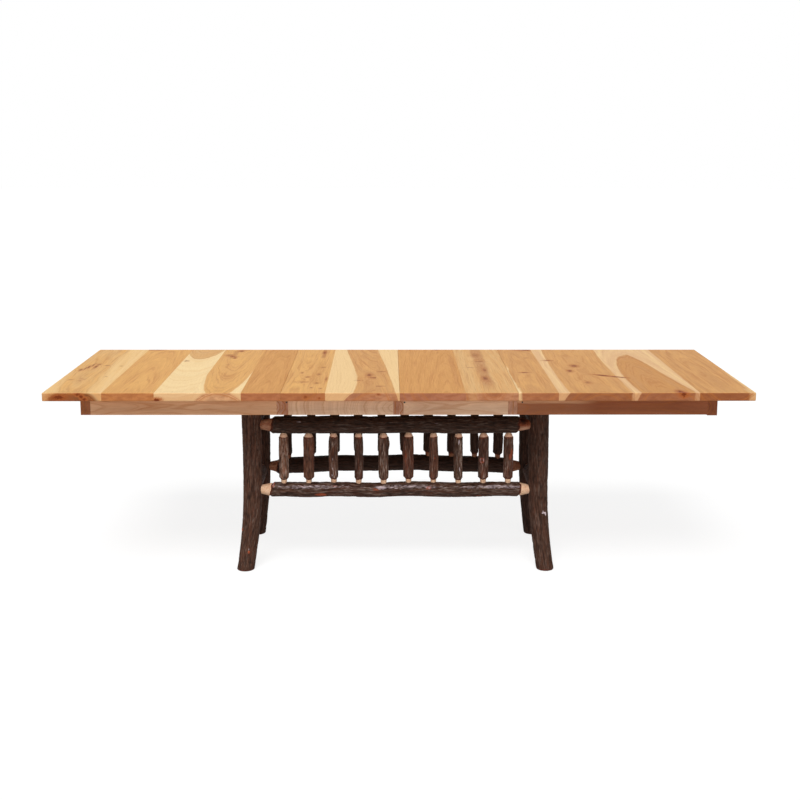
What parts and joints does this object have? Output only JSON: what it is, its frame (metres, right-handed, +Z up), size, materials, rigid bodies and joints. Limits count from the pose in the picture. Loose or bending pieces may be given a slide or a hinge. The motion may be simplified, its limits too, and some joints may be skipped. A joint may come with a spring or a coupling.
{
  "type": "extension dining table",
  "caption": "Rustic hickory extension table: plank top in two halves with two lift-out leaves, equalizer slides, and a bark-on pole base with flared legs, rails and spindles.",
  "frame": {"origin": "on the floor under the middle of the top, with both leaves in", "axes": "+X along the table's length, +Y from the front to the rear, +Z up"},
  "size_m": [2.7432, 1.0668, 0.795],
  "materials": {
    "hickory_bark": "satin varnish on bark",
    "hickory_planks": "satin varnish",
    "hickory_apron": "satin varnish",
    "hard_maple": "waxed",
    "plain_wood": "sawn",
    "zinc_steel": "zinc plated",
    "dark_steel": "blackened"
  },
  "bodies": {
    "base": {"front_left_leg": "hickory_bark", "front_right_leg": "hickory_bark", "rear_left_leg": "hickory_bark", "rear_right_leg": "hickory_bark", "front_upper_rail": "hickory_bark", "front_lower_rail": "hickory_bark", "rear_upper_rail": "hickory_bark", "rear_lower_rail": "hickory_bark", "left_end_rails": "hickory_bark", "right_end_rails": "hickory_bark", "front_spindle_01": "hickory_bark", "front_spindle_02": "hickory_bark", "front_spindle_03": "hickory_bark", "front_spindle_04": "hickory_bark", "front_spindle_05": "hickory_bark", "front_spindle_06": "hickory_bark", "front_spindle_07": "hickory_bark", "front_spindle_08": "hickory_bark", "front_spindle_09": "hickory_bark", "front_spindle_10": "hickory_bark", "rear_spindle_01": "hickory_bark", "rear_spindle_02": "hickory_bark", "rear_spindle_03": "hickory_bark", "rear_spindle_04": "hickory_bark", "rear_spindle_05": "hickory_bark", "rear_spindle_06": "hickory_bark", "rear_spindle_07": "hickory_bark", "rear_spindle_08": "hickory_bark", "rear_spindle_09": "hickory_bark", "rear_spindle_10": "hickory_bark", "top_cleats": "plain_wood", "slide_beds": "hard_maple", "base_screws": "zinc_steel", "pinion_pins": "zinc_steel"},
    "left_half": {"left_top": "hickory_planks", "left_end_apron": "hickory_apron", "left_inner_board": "hickory_apron", "left_side_aprons": "hickory_apron", "left_battens": "plain_wood", "left_runners": "hard_maple", "left_screws": "zinc_steel"},
    "right_half": {"right_top": "hickory_planks", "right_end_apron": "hickory_apron", "right_inner_board": "hickory_apron", "right_side_aprons": "hickory_apron", "right_battens": "plain_wood", "right_runners": "hard_maple", "right_screws": "zinc_steel", "right_apron_pins": "dark_steel"},
    "leaf_a": {"leaf_a_top": "hickory_planks", "leaf_a_cross_boards": "hickory_apron", "leaf_a_side_aprons": "hickory_apron", "leaf_a_apron_pins": "dark_steel"},
    "leaf_b": {"leaf_b_top": "hickory_planks", "leaf_b_cross_boards": "hickory_apron", "leaf_b_side_aprons": "hickory_apron", "leaf_b_apron_pins": "dark_steel"},
    "front_pinion": {"front_pinion": "hard_maple"},
    "rear_pinion": {"rear_pinion": "hard_maple"}
  },
  "joints": [
    {"name": "left_slide", "type": "slide", "parent": "base", "child": "left_half", "axis": [-1, 0, 0], "range_m": [0, 0.04]},
    {"name": "right_slide", "type": "slide", "parent": "base", "child": "right_half", "axis": [1, 0, 0], "range_m": [0, 0.04]},
    {"name": "front_pinion_spin", "type": "hinge", "parent": "base", "child": "front_pinion", "pos_m": [-0.0145, -0.15, 0.731], "axis": [0, 0, 1], "range_deg": [0, 115]},
    {"name": "rear_pinion_spin", "type": "hinge", "parent": "base", "child": "rear_pinion", "pos_m": [-0.0145, 0.15, 0.731], "axis": [0, 0, 1], "range_deg": [0, 115]},
    {"name": "leaf_a_lift", "type": "slide", "parent": "base", "child": "leaf_a", "axis": [0, 0, 1], "range_m": [0, 0.25]},
    {"name": "leaf_b_lift", "type": "slide", "parent": "base", "child": "leaf_b", "axis": [0, 0, 1], "range_m": [0, 0.25]}
  ],
  "couplings": [
    {"joint": "right_slide", "follows": "left_slide", "ratio": 1},
    {"joint": "front_pinion_spin", "follows": "left_slide", "rad_per_m": 50},
    {"joint": "rear_pinion_spin", "follows": "left_slide", "rad_per_m": 50}
  ]
}
